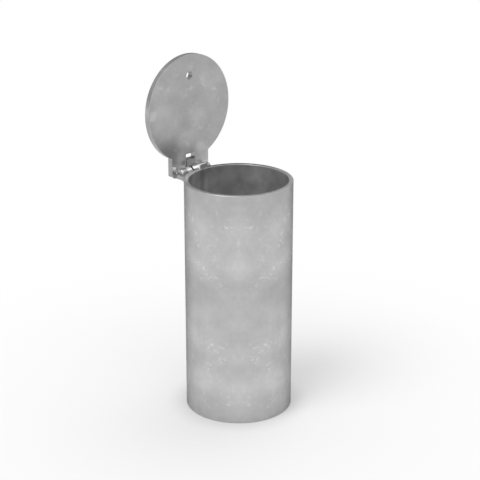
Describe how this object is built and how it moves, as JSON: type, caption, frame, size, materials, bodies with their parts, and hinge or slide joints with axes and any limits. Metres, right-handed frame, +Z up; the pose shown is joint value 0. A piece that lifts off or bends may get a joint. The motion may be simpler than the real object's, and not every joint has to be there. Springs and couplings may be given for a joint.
{
  "type": "removable bollard ground sleeve with hinged lid",
  "caption": "Galvanised steel ground sleeve for a removable bollard post, with a round hinged lid that folds back upright and closes over the sleeve's mouth.",
  "frame": {"origin": "centre of the sleeve's bore at its bottom end", "axes": "+Z up the sleeve towards its mouth, +Y towards the hinge, X along the hinge pin"},
  "size_m": [0.1698, 0.2019, 0.5517],
  "materials": {
    "galvanised_sleeve": "hot-dip galvanised, mottled matt grey",
    "galvanised_hinge": "hot-dip galvanised, matt grey",
    "galvanised_lid": "hot-dip galvanised, mottled matt grey",
    "galvanised_lug": "hot-dip galvanised, darker grey",
    "pin_steel": "bright zinc"
  },
  "bodies": {
    "sleeve": {"sleeve_tube": "galvanised_sleeve", "sleeve_bracket": "galvanised_hinge", "sleeve_knuckle_right": "pin_steel", "sleeve_knuckle_left": "pin_steel", "lid_tongue": "galvanised_hinge", "hinge_pin": "pin_steel"},
    "lid": {"lid_plate": "galvanised_lid", "lid_hinge_lug": "galvanised_lug"}
  },
  "joints": [
    {"name": "lid_hinge", "type": "hinge", "parent": "sleeve", "child": "lid", "pos_m": [0, 0.10001, 0.36671], "axis": [1, 0, 0], "range_deg": [0, 90]}
  ]
}
